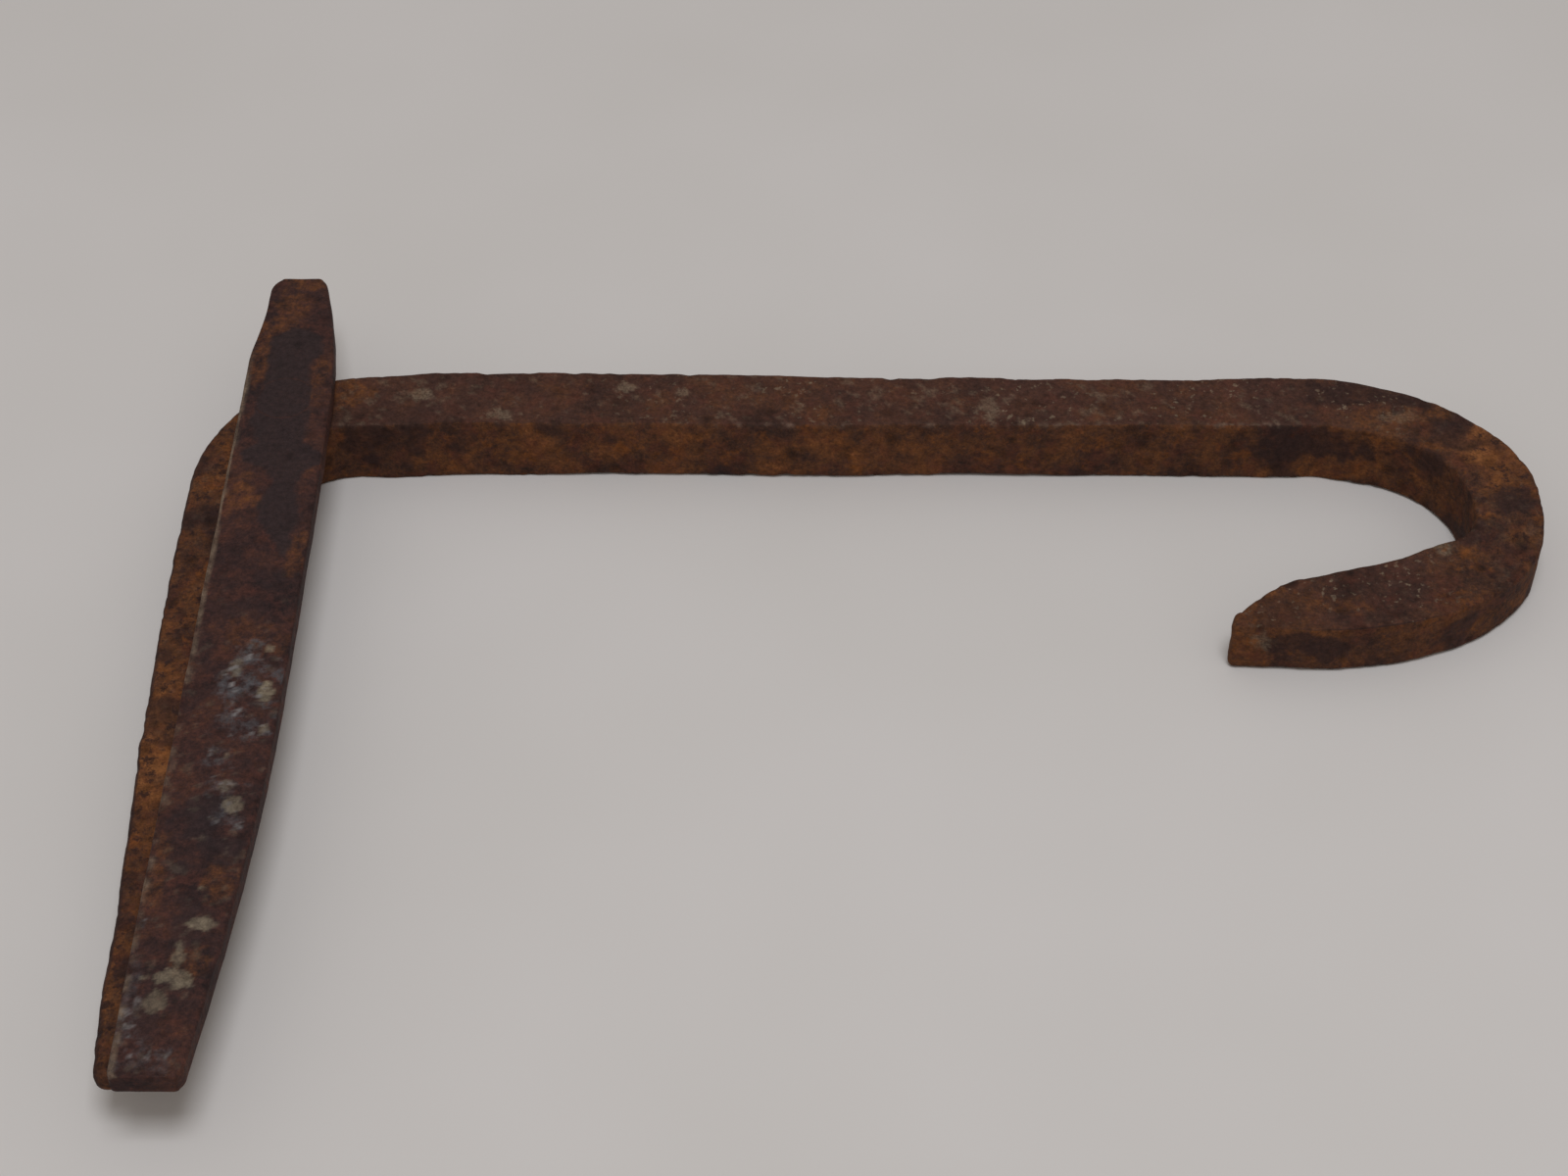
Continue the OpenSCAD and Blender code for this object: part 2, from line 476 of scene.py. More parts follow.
def even_rails(step):
    """The rod's two edges from the leg's tip to the hook's tip, in even steps."""
    parts = [leg_rails(), bend_rails(), shank_rails(), far_hook_rails(), near_hook_rails()]
    outer = np.vstack([part[0] for part in parts])
    inner = np.vstack([part[1] for part in parts])
    keep = np.r_[True, np.linalg.norm(np.diff(outer, axis=0), axis=1) > 1e-4]
    outer, inner = outer[keep], inner[keep]
    middle = (outer + inner) / 2
    length = np.linalg.norm(np.diff(middle, axis=0), axis=1)
    length += np.linalg.norm(np.diff(outer, axis=0), axis=1)
    along = np.r_[0, np.cumsum(length / 2)]
    even = np.linspace(0, along[-1], int(along[-1] / step))
    outer = np.stack([np.interp(even, along, outer[:, i]) for i in (0, 1)], 1)
    inner = np.stack([np.interp(even, along, inner[:, i]) for i in (0, 1)], 1)
    return relax(outer), relax(inner)


def relax(line, rounds=6):
    """Softens the joints between the stretches of an edge."""
    for _ in range(rounds):
        line[1:-1] = (line[:-2] + 2 * line[1:-1] + line[2:]) / 4
    return line


def rod_floor(y, x):
    """Height of the rod's underside: the leg's rises towards its tip."""
    past = (BEND_Y - LEG_FLAT - y) / (BEND_Y - LEG_FLAT - LEG_TIP_Y)
    rise = (ROD_W - LEG_TIP_T) * np.clip(past, 0, 1)
    return np.where(x < BEND_X, rise, 0.0)


def rod_top(y, x):
    """Height of the rod's top: the hook's arm is drawn down."""
    down = (ROD_W - ARM_H) * (1 - smooth(HOOK_Y - 8, HOOK_Y + 1, y))
    return ROD_W - np.where(x > 0, down, 0.0)


# Distance between the rod's sections, and how round its two ends are
ROD_STEP = 0.36
LEG_END_R = 1.2
HOOK_END_R = 0.9
# Radius of the rod's long edges, how much it varies, and how much rounder the leg's and arm's are
EDGE_R = 0.75
EDGE_VARIES = 0.25
EDGE_MORE = 0.3
# Shares by which the upper inner edge and the arm's upper outer edge are sharper
INNER_SHARPER = 0.5
ARM_SHARPER = 0.7


def build_rod():
    """The bent bar with its hammered, rusted surface."""
    outer, inner = even_rails(ROD_STEP)
    width = np.linalg.norm(inner - outer, axis=1)
    middle = (outer + inner) / 2
    height = rod_top(middle[:, 1], middle[:, 0]) - rod_floor(middle[:, 1], middle[:, 0])
    flat = np.column_stack([middle, np.zeros(len(middle))])
    radius = np.stack([EDGE_R + EDGE_VARIES * cloud(flat, 9, 40 + k) for k in range(4)], 1)
    on_arm = smooth(HOOK_Y + 4, HOOK_Y - 12, middle[:, 1]) * (middle[:, 0] > 0)
    on_leg = smooth(BEND_Y, LEG_TIP_Y, middle[:, 1]) * (middle[:, 0] < BEND_X)
    radius = np.clip(radius, 0.4, 1.1) + EDGE_MORE * (on_arm + on_leg)[:, None]
    radius[:, 2] *= 1 - INNER_SHARPER * (1 - np.clip(on_arm + on_leg, 0, 1))
    radius[:, 1] *= 1 - ARM_SHARPER * on_arm
    rings = section_rings(width, height, radius, CORNER_POINTS, 19)
    across = (inner - outer) / width[:, None]
    plan = outer[:, None] + across[:, None] * rings[..., :1]
    share = rings[..., 1] / height[:, None]
    low = rod_floor(plan[..., 1], plan[..., 0])
    high = rod_top(plan[..., 1], plan[..., 0])
    solid = np.dstack([plan, low + (high - low) * share])
    leg_end = rounded_end(solid[0], TO_NEAR, (width[0], height[0]), LEG_END_R)
    hook_end = rounded_end(solid[-1], TO_LEFT, (width[-1], height[-1]), HOOK_END_R)
    rings = np.concatenate([np.array(leg_end[::-1]), solid, np.array(hook_end)])
    rod = mesh_from_rings("forged_rod", rings)
    hammer_rod(rod)
    return rod


# Depths in millimetres of the rod's hammer waves, dents, grit, rust scabs and the leg's coarser grit
HAMMER_WAVE = 0.16
DENT = 0.07
GRIT = 0.035
SCAB = 0.08
LEG_GRIT = 0.05
# Pits on the rod: seed, count, smallest and largest radius, and depth
ROD_PITS = ((15, 450, 0.5, 1.6, 0.20), (16, 1400, 0.3, 0.75, 0.12))
# Depth at which a pit gets its full painted shade
ROD_PIT_FULL = 0.16


def hammer_rod(rod):
    """Hammer waves, scabs of rust and pits, all kept inside the CAD model's box."""
    points, normals = points_of(rod), normals_of(rod)
    even_bend = 1 - 0.6 * smooth(HOOK_X + 2, HOOK_X + 12, points[:, 0])
    depth = HAMMER_WAVE * even_bend * cloud(points, 22, 11, 2) + DENT * cloud(points, 6, 12, 2)
    depth += GRIT * cloud(points, 1.6, 13, 3)
    depth += SCAB * smooth(0.15, 0.55, cloud(points, 6, 14, 3))
    on_leg = 1 - smooth(BEND_X - 14, BEND_X - 8, points[:, 0])
    depth += LEG_GRIT * on_leg * cloud(points, 1.8, 18, 2)
    pits = np.maximum(*(pitted(points, *kind) for kind in ROD_PITS))
    depth -= pits
    # The pits' depths, stored for painted shade in the pits
    write_masks(rod, pit=pits / ROD_PIT_FULL)
    moved = points + normals * depth[:, None]
    low = np.array([ROD_LOW[0], ROD_LOW[1], 0.0])
    high = np.array([ROD_HIGH[0], BAR_HIGH[1], ROD_W])
    move_points(rod, np.clip(moved, low, high))


# -------- the toggle bar's shape


# How far the left edge leans in at its far end, and its near corner's radius
LEFT_LEAN = 1.1
LEFT_CORNER_R = 1.2
# How far the right edge draws in at both ends, its fuller places, and its corners' radius
BOW = 3.9
NEAR_FULLER = 0.3
FAR_FULLER = 0.25
RIGHT_FULLER = 0.2
RIGHT_CORNER_R = 1.6
# How far nearer than the pivot the bow starts, towards the far end and towards the near end
FAR_BOW, NEAR_BOW = 15, 37


def toggle_left(y):
    """The toggle bar's nearly straight left edge, worn round at its far end."""
    lean = LEFT_LEAN * smooth(BAR_HIGH[1] - 18, BAR_HIGH[1] - 6, y)
    into = np.clip(y - BAR_HIGH[1] + FAR_CORNER_R, 0, FAR_CORNER_R)
    into_near = np.clip(BAR_LOW[1] + LEFT_CORNER_R - y, 0, LEFT_CORNER_R)
    near = LEFT_CORNER_R - np.sqrt(LEFT_CORNER_R**2 - into_near**2)
    return BAR_LOW[0] + lean + near + FAR_CORNER_R - np.sqrt(FAR_CORNER_R**2 - into**2)


def toggle_right(y):
    """The toggle bar's bowed right edge."""
    up = np.clip((y - PIVOT[1] + FAR_BOW) / (BAR_HIGH[1] - PIVOT[1] + FAR_BOW), 0, 1)
    down = np.clip((PIVOT[1] - NEAR_BOW - y) / (PIVOT[1] - NEAR_BOW - BAR_LOW[1]), 0, 1)
    bow = BOW * up**2.8 + BOW * down**2 - NEAR_FULLER * np.sin(math.pi * down) ** 2
    into_far = np.clip(y - BAR_HIGH[1] + RIGHT_CORNER_R, 0, RIGHT_CORNER_R)
    into_near = np.clip(BAR_LOW[1] + RIGHT_CORNER_R - y, 0, RIGHT_CORNER_R)
    far_corner = RIGHT_CORNER_R - np.sqrt(RIGHT_CORNER_R**2 - into_far**2)
    near_corner = RIGHT_CORNER_R - np.sqrt(RIGHT_CORNER_R**2 - into_near**2)
    fuller = RIGHT_FULLER + FAR_FULLER * smooth(BAR_HIGH[1] - 30, BAR_HIGH[1] - 15, y)
    return BAR_HIGH[0] + fuller - bow - far_corner - near_corner


# Distance between the toggle bar's sections, how far short of its ends they stop, and the ends'
# rounding
TOGGLE_STEP = 0.27
TOGGLE_END = 0.5
TOGGLE_END_R = 0.35
# Radii of the lower edges, the upper right edge, and the upper left edge at the pivot and, on
# top of that, towards the near end
LOWER_EDGE_R = 0.5
RIGHT_EDGE_R = 0.6
BEVEL_R = 0.38
BEVEL_MORE = 0.35


def build_toggle():
    """The flat toggle bar, a little crowned, with its worn bevel and the rivet's hole."""
    y = np.arange(BAR_LOW[1] + TOGGLE_END, BAR_HIGH[1] - TOGGLE_END, TOGGLE_STEP)
    left, right = toggle_left(y), toggle_right(y)
    width = right - left
    height = np.full_like(y, BAR_HIGH[2] - BAR_LOW[2])
    near = smooth(PIVOT[1] - 70, BAR_LOW[1], y)
    flat = np.column_stack([left, y, np.zeros_like(y)])
    bevel = BEVEL_R + BEVEL_MORE * near + 0.12 * cloud(flat, 5, 50)
    lower = np.full_like(y, LOWER_EDGE_R)
    right_edge = RIGHT_EDGE_R + 0.1 * cloud(flat, 7, 51)
    radius = np.stack([lower, bevel, right_edge, lower], 1)
    rings = section_rings(width, height, np.clip(radius, 0.25, 1.3), CORNER_POINTS, 21)
    x = left[:, None] + rings[..., 0]
    z = BAR_LOW[2] + rings[..., 1]
    solid = np.dstack([x, np.repeat(y[:, None], x.shape[1], 1), z])
    near_end = rounded_end(solid[0], TO_NEAR, (width[0], height[0]), TOGGLE_END_R)
    far_end = rounded_end(solid[-1], -TO_NEAR, (width[-1], height[-1]), TOGGLE_END_R)
    rings = np.concatenate([np.array(near_end[::-1]), solid, np.array(far_end)])
    toggle = mesh_from_rings("forged_toggle", rings)
    hammer_toggle(toggle)
    cut(toggle, revolve("toggle_bore", bore_profile()))
    return toggle


def bore_profile():
    """Outline of the toggle bar's countersunk running hole."""
    slope = HEAD_R - SHANK_R
    return [
        (0, BAR_LOW[2] - 2),
        (SHANK_R + BORE_GAP, BAR_LOW[2] - 2),
        (SHANK_R + BORE_GAP, BAR_HIGH[2] - slope),
        (HEAD_R + BORE_GAP, BAR_HIGH[2]),
        (HEAD_R + BORE_GAP, BAR_HIGH[2] + 1),
        (0, BAR_HIGH[2] + 1),
    ]


# Wear of the toggle bar's faces: mean depth, then waves, dents and grit
WORN_DOWN = 0.12
TOGGLE_WAVE = 0.07
TOGGLE_DENT = 0.035
TOGGLE_GRIT = 0.02
# Waves of its sides, and how far its top falls away 5 mm from its middle line
SIDE_WAVE = 0.06
CROWN = 0.12
# Pits on the toggle bar, as for the rod
TOGGLE_PITS = ((25, 500, 0.4, 1.3, 0.16), (26, 900, 0.3, 0.6, 0.10))
TOGGLE_PIT_FULL = 0.14


def toggle_relief(points):
    """How far the worn top lies below the toggle bar's full height; the rivet's head follows it."""
    depth = WORN_DOWN + TOGGLE_WAVE * cloud(points, 16, 21, 2) + TOGGLE_DENT * cloud(points, 4, 22, 2)
    return np.clip(depth + TOGGLE_GRIT * cloud(points, 1.3, 23, 2), 0.0, 0.4)


def hammer_toggle(toggle):
    """Forging waves and pits; the underside stays clear of the rod."""
    points, normals = points_of(toggle), normals_of(toggle)
    depth = -toggle_relief(points) * np.abs(normals[:, 2])
    off_head = smooth(HEAD_R + 0.3, HEAD_R + 2.5, np.linalg.norm(points[:, :2] - PIVOT[:2], axis=1))
    pits = np.maximum(*(pitted(points, *kind) for kind in TOGGLE_PITS))
    # The pits' depths, stored for painted shade in the pits
    write_masks(toggle, pit=pits / TOGGLE_PIT_FULL)
    depth -= off_head * pits * smooth(0.7, 1.0, np.abs(normals[:, 2]))
    side = 1 - np.abs(normals[:, 2])
    depth += side * SIDE_WAVE * cloud(points, 4.0, 27, 2)
    top = smooth(0.6, 0.95, normals[:, 2])
    crown = CROWN * (np.abs(points[:, 0] - (BAR_LOW[0] + BAR_HIGH[0]) / 2) / 5) ** 2
    moved = points + normals * depth[:, None]
    moved[:, 2] -= top * off_head * np.clip(crown, 0, 0.25)
    move_points(toggle, np.clip(moved, BAR_LOW, BAR_HIGH + [0.5, 0, 0]))


# -------- the rivet's shape


# Radii and heights of the flush lower end, which is a little domed
FOOT = ((0, 0.05), (1.2, 0.05), (2.4, 0.08), (3.5, 0.12), (HEAD_R - 0.05, 0.25))
# Height at which the lower countersink starts
FOOT_SEAT = 0.05


def build_rivet():
    """The peened rivet, flush at both ends; its head follows the toggle bar's worn top."""
    slope = HEAD_R - SHANK_R
    head = HEAD_R + BORE_GAP - HEAD_SEAM
    top = BAR_HIGH[2]
    shank = [(SHANK_R, slope + FOOT_SEAT), (SHANK_R, top - slope)]
    rim = [(head * share, top) for share in np.linspace(1, 0, 14)]
    rivet = revolve("peened_rivet", list(FOOT) + shank + rim)
    points = points_of(rivet)
    write_masks(rivet, pit=np.zeros(len(points)))
    raised = smooth(top - 0.3, top, points[:, 2])
    drop = raised * toggle_relief(points)
    points[:, 2] -= drop
    points[:, :2] -= (points[:, :2] - PIVOT[:2]) * (drop / head)[:, None]
    move_points(rivet, points)
    return rivet


def rod_bore_profile():
    """Outline of the rivet's place in the rod, with its lower countersink."""
    slope = HEAD_R - SHANK_R
    return [
        (0, -1),
        (HEAD_R + PRESS_GAP, -1),
        (HEAD_R + PRESS_GAP, FOOT_SEAT),
        (SHANK_R + PRESS_GAP, slope + FOOT_SEAT),
        (SHANK_R + PRESS_GAP, ROD_W + 1),
        (0, ROD_W + 1),
    ]


# -------- colour masks
# Every cloud has a size in millimetres and a seed; shares and strengths run from 0 to 1


def ridge_line(points):
    """Nearness to the sharp edge between the shank's top and its front face, where a highlight is
    painted.
    """
    return hump(points[:, 1], FRONT_Y, 0.35) * hump(points[:, 2], ROD_W, 0.45)


def rod_zones(points, normals):
    """Shares from 0 to 1 of the rod's top, shank, leg, arm and far bend at each point."""
    x, y = points[:, 0], points[:, 1]
    top = smooth(0.55, 0.9, normals[:, 2])
    along_shank = smooth(BEND_X - 8, BEND_X, x) * (1 - smooth(HOOK_X - 6, HOOK_X + 14, x))
    on_shank = along_shank * (y > HOOK_Y + 8)
    on_leg = 1 - smooth(BEND_X - 8, BEND_X - 2, x)
    along_arm = smooth(HOOK_X - 14, HOOK_X, x) * (1 - smooth(HOOK_X + 6, HOOK_X + 16, x))
    on_arm = smooth(HOOK_Y - 1, HOOK_Y - 7, y) * along_arm
    far_bend = smooth(HOOK_X + 12, HOOK_X + 20, x)
    return top, on_shank, on_leg, on_arm, far_bend


def rod_dark_and_shade(points, normals, zones):
    """Where the rod is dark: listed stains, scattered scale, and painted shade on the leg's outer side
    and the arm's top front edge.
    """
    top, on_shank, on_leg, on_arm, _ = zones
    dark = blotches(points, ROD_DARK, 34, 2.4, 0.5)
    calm = 1 - 0.6 * on_shank * top
    dark = np.maximum(dark, 0.8 * calm * smooth(0.45, 0.85, cloud(points, 5.5, 35, 3)))
    dark = np.maximum(dark, 0.75 * on_leg * smooth(0.15, 0.65, cloud(points, 4.5, 43, 3)))
    # Painted shade on the leg's outer side, which faces away to the left
    dark = np.maximum(dark, 0.9 * on_leg * smooth(0.2, 0.6, -normals[:, 0]))
    # Painted shade along the arm's top front edge, set by the way the surface faces
    arm_ridge = hump(normals[:, 2], 0.7, 0.3) * smooth(0.2, 0.5, -normals[:, 1])
    return np.maximum(dark, 0.95 * on_arm * arm_ridge)


def rod_tone(points, zones):
    """How bright the rod's rust is, mottled, with a duller top and a brighter leg and far bend."""
    top, on_shank, on_leg, on_arm, far_bend = zones
    mottle = 0.22 * cloud(points, 11, 31, 3) + 0.18 * cloud(points, 3.2, 32, 3)
    contrast = 1 + 0.45 * np.maximum(on_leg, far_bend) + 0.3 * on_shank * (1 - top)
    tone = 0.46 + mottle * contrast
    tone += 0.16 * on_leg + 0.17 * far_bend
    return tone - 0.22 * on_shank * top - 0.26 * on_arm * top


def rod_masks(rod):
    """Where the rod is bright, violet-brown, dark, ochre, coarse or flecked with pale residue."""
    points, normals = points_of(rod), normals_of(rod)
    zones = rod_zones(points, normals)
    top, on_shank, on_leg, on_arm, far_bend = zones
    x = points[:, 0]
    top_scale_and_sheen = np.maximum(on_shank, on_arm) * top
    dark = rod_dark_and_shade(points, normals, zones)
    dust = smooth(0.50, 0.85, cloud(points, 1.1, 36, 2) + 0.35 * cloud(points, 9, 37, 2))
    residue = 0.8 * blotches(points, ROD_PALE, 38, 1.2, 0.6)
    middle = smooth(BEND_X + 20, BEND_X + 45, x) * (1 - smooth(HOOK_X + 4, HOOK_X + 18, x))
    clusters = np.clip(0.55 + 0.6 * cloud(points, 9, 44, 2), 0.1, 1.0)
    inner_hook = smooth(HOOK_X, HOOK_X + 10, x) * (1 - top)
    grainy = np.maximum(0.5 * inner_hook, 0.85 * np.maximum(on_leg, far_bend))
    chip = smooth(0.35, 0.8, cloud(points, 1.0, 42, 2)) + 0.12
    write_masks(
        rod,
        tone=rod_tone(points, zones),
        flecks=top * (0.3 + 0.7 * middle + 0.4 * on_arm) * (1 - on_leg) * clusters,
        coarse=np.maximum(grainy, 0.3 * on_shank * (1 - top)),
        bloom=1 - np.maximum(0.85 * top_scale_and_sheen, dark),
        ochre=blotches(points, ROD_OCHRE, 33, 2.4, 0.5),
        # Dark stains and scale, with painted shade on the leg's outer side and the arm's top front edge
        dark=dark,
        pale=np.maximum(residue, 0.30 * dust * top * (0.3 + 0.7 * on_shank)),
        # Painted highlight along the shank's top front edge, broken into specks
        ridge=0.6 * ridge_line(points) * chip * on_shank,
        # Violet-brown scale with painted sheen, on the top faces of the shank and arm
        violet=top_scale_and_sheen * (0.75 + 0.4 * cloud(points, 8, 39, 2)),
    )


# Marks on the rod: x, y, z, their three half-sizes in millimetres, and strength
ROD_OCHRE = (
    (HOOK_X + 23, HOOK_Y + 9.5, ROD_W, 3.0, 5.0, 3, 0.8),
    (HOOK_X - 1.5, HOOK_Y - 14.6, ARM_H, 4.0, 1.4, 2, 0.55),
    (HOOK_X - 9.5, HOOK_Y - 12.2, ARM_H, 2.2, 1.4, 2, 0.7),
    (HOOK_X + 10, HOOK_Y + 18, ROD_W, 5.0, 2.0, 2, 0.4),
    (BEND_X + 19.5, FRONT_Y, 4.9, 2.6, 1.5, 2.2, 0.7),
    (BEND_X - 3, BACK_Y - 3, ROD_W, 4, 3, 2, 0.8),
    (BEND_X + 76, FRONT_Y, 5.8, 5, 1.5, 2.5, 0.4),
)
ROD_DARK = (
    (BEND_X + 0.4, FRONT_Y, 5.9, 1.4, 1.0, 0.8, 0.9),
    (BEND_X + 0.9, FRONT_Y, 3.5, 1.3, 1.0, 0.9, 0.9),
    (BEND_X + 12.5, FRONT_Y, 5.8, 2.2, 1.0, 2.0, 0.7),
    (HOOK_X - 1, FRONT_Y, 5.6, 9, 2.2, 3.0, 0.9),
    (HOOK_X + 6.5, BACK_Y - 3.2, ROD_W, 8.0, 3.8, 1.5, 0.85),
    (HOOK_X + 22.5, HOOK_Y + 2, ROD_W, 2.2, 2.6, 1.5, 0.8),
    (HOOK_X + 15, HOOK_Y - 2, ROD_W, 3, 3, 2, 0.6),
    (HOOK_X - 4, ARM_Y, 4.0, 6.0, 1.6, 2.4, 0.85),
    (HOOK_X - 10, ARM_Y + 2.6, ARM_H, 3, 2, 1.4, 0.5),
)
ROD_PALE = (
    (BEND_X + 7.6, BACK_Y - 3.6, ROD_W, 1.6, 1.2, 1, 0.8),
    (BEND_X + 18.5, BACK_Y - 7.4, ROD_W, 2.2, 1.0, 1, 0.7),
    (BEND_X + 11.7, BACK_Y - 9.6, ROD_W, 0.5, 0.4, 1, 1.0),
    (BEND_X + 34.8, BACK_Y - 2.1, ROD_W, 1.2, 0.8, 1, 0.8),
    (BEND_X + 42.6, BACK_Y - 3.0, ROD_W, 1.4, 0.8, 1, 0.7),
    (BEND_X + 82.6, BACK_Y - 7.0, ROD_W, 1.4, 2.4, 1, 0.6),
    (HOOK_X + 10.6, HOOK_Y + 18.0, ROD_W, 2.4, 1.2, 1, 0.4),
    (HOOK_X + 15.3, HOOK_Y - 1.5, ROD_W, 1.6, 1.4, 1, 0.9),
    (HOOK_X + 12.3, HOOK_Y - 4.8, ARM_H + 1, 1.4, 1.2, 1.5, 0.8),
    (HOOK_X - 11.9, ARM_Y, 5.2, 1.6, 1.2, 2.2, 0.5),
)
# The scale patch along the toggle bar, from the pivot: y, then its left and right edges' x
SCALE_PATCH = (
    (14.2, -0.4, 0.2),
    (12.4, -3.2, 3.6),
    (9.0, -3.2, 4.2),
    (6.4, -3.0, 2.4),
    (1.0, -3.4, 3.6),
    (-5.0, -3.6, 3.5),
    (-8.6, -2.6, 3.6),
    (-10.4, -4.6, 6.0),
    (-12.2, -3.8, 6.8),
    (-13.8, -0.6, 4.6),
    (-16.0, 0.2, 3.4),
    (-20.0, -1.3, 4.5),
    (-23.0, -0.6, 4.7),
    (-26.5, 1.6, 4.3),
    (-30.0, 3.2, 3.6),
)
# Marks on the toggle bar from the pivot: x, y, their two half-sizes, and strength
PAINT_SPOTS = (
    (3.9, -51.8, 1.2, 1.2, 1.0),
    (0.1, -48.2, 0.6, 1.2, 0.45),
    (1.1, -62.1, 0.5, 0.7, 0.5),
    (2.7, -69.4, 0.9, 1.4, 0.6),
    (1.6, -66.5, 0.9, 1.0, 0.35),
    (0.8, -81.5, 0.6, 0.6, 0.7),
    (1.8, -86.3, 1.8, 1.2, 0.75),
    (-0.6, -93.8, 2.5, 1.7, 0.7),
    (-2.0, -96.4, 1.2, 1.6, 0.5),
    (-0.2, -91.2, 0.7, 1.6, 0.6),
    (3.9, -45.2, 0.5, 0.7, 0.6),
    (4.7, -57.8, 0.5, 0.8, 0.5),
)
# Dust with painted sheen on the toggle bar's top
DUST_AND_SHEEN_SPOTS = (
    (2.0, -50.5, 3.6, 4.6, 0.8),
    (2.6, -57.0, 3.4, 2.4, 0.6),
    (0.2, -62.5, 1.8, 2.8, 0.5),
    (2.2, -69.0, 2.0, 3.4, 0.5),
    (-1.4, -104.6, 3.0, 2.0, 0.45),
    (-4.6, -98.0, 1.2, 8.0, 0.4),
)
TOGGLE_DARK = (
    (-0.6, -71.0, 2.8, 3.6, 0.9),
    (2.8, -76.0, 2.6, 2.4, 0.8),
    (-1.6, -78.5, 1.3, 1.2, 0.9),
    (0.0, -87.0, 1.8, 3.0, 0.7),
    (-2.4, -100.0, 2.0, 1.6, 0.5),
    (2.6, -33.0, 1.8, 2.4, 0.5),
    (0.4, -38.0, 2.4, 2.0, 0.45),
)
TOGGLE_RUST = (
    (-3.4, -18.5, 2.2, 4.0, 0.7),
    (-4.0, 9.0, 1.4, 8.0, 0.7),
    (-1.6, 17.5, 3.0, 4.0, 0.65),
    (1.5, 24.0, 3.6, 2.0, 0.8),
    (4.2, 5.0, 1.6, 5.0, 0.6),
    (1.9, -43.4, 4.5, 3.6, 0.35),
    (5.2, -29.0, 1.2, 4.0, 0.6),
    (-4.4, -80.0, 0.9, 7.0, 0.6),
    (3.2, -80.5, 2.4, 3.0, 0.6),
    (1.4, -92.0, 2.6, 2.2, 0.55),
)


def toggle_blotches(flat, marks, seed, size, ragged):
    """Blotches from marks that have no height; flat holds places from the pivot, at height 0."""
    raised = [(x, y, 0, rx, ry, 1, strength) for x, y, rx, ry, strength in marks]
    return blotches(flat, raised, seed, size, ragged)


def scale_patch(points):
    """The black scale left round the rivet, from its edges along the toggle bar."""
    table = np.array(SCALE_PATCH[::-1])
    dx, dy = points[:, 0] - PIVOT[0], points[:, 1] - PIVOT[1]
    ragged = 0.45 * cloud(points * [1, 1, 0], 2.6, 61, 3)
    left = np.interp(dy, table[:, 0], table[:, 1])
    right = np.interp(dy, table[:, 0], table[:, 2])
    inside = np.minimum(dx - left, right - dx) + ragged
    ends = (dy < table[-1, 0]) & (dy > table[0, 0])
    return smooth(-0.15, 0.35, inside) * ends


def worn_and_lit_bevel(points, normals, near):
    """How pale the toggle bar's upper left edge is, partly worn bare and partly painted light where it
    faces up and left, broader and duller towards the near end.
    """
    from_left = points[:, 0] - toggle_left(points[:, 1])
    wide = 0.40 + 0.42 * near + 0.08 * cloud(points, 3.0, 70, 2)
    bevel = (1 - smooth(0.75, 1.2, from_left / wide)) * smooth(0.1, 0.4, normals[:, 2])
    chipped = 0.78 - 0.46 * near + (0.35 + 0.3 * near) * cloud(points, 1.8, 64, 3)
    return bevel * smooth(12, 0, points[:, 1] - PIVOT[1]) * chipped


def toggle_masks(piece):
    """Where the toggle bar and the rivet's head bear scale, rust, old paint or dust, and where sheen and
    glints are painted on the top.
    """
    points, normals = points_of(piece), normals_of(piece)
    top = smooth(0.5, 0.9, normals[:, 2])
    flat = (points - PIVOT) * [1, 1, 0]
    tone = 0.36 + 0.20 * cloud(points, 10, 62, 3) + 0.16 * cloud(points, 2.8, 63, 3)
    near = smooth(-20, -55, points[:, 1] - PIVOT[1])
    tone -= 0.05 * near
    speckle = smooth(0.75, 1.05, cloud(points, 1.0, 65, 2) + 0.25 * near)
    paint = toggle_blotches(flat, PAINT_SPOTS, 66, 1.3, 0.62)
    patch = scale_patch(points)
    stains = toggle_blotches(flat, TOGGLE_DARK, 68, 2.2, 0.5)
    # Dust with painted sheen, on the top faces only
    haze = top * toggle_blotches(flat, DUST_AND_SHEEN_SPOTS, 69, 1.6, 0.7)
    write_masks(
        piece,
        tone=tone,
        ochre=top * toggle_blotches(flat, TOGGLE_RUST, 67, 2.2, 0.5),
        dark=top * np.maximum(patch, stains),
        scale=top * patch,
        pale=top * np.maximum(paint, 0.15 * speckle * near),
        haze=haze,
        glint=haze * smooth(0.55, 0.85, cloud(points, 0.9, 71, 2)),
        # Worn pale edge with painted light on the upper left bevel
        bevel=worn_and_lit_bevel(points, normals, near),
    )


# -------- materials


def srgb(red, green, blue):
    """A linear colour from the 0 to 255 values that a screen shows."""
    return tuple((value / 255 / 1.055 + 0.052) ** 2.4 for value in (red, green, blue)) + (1.0,)


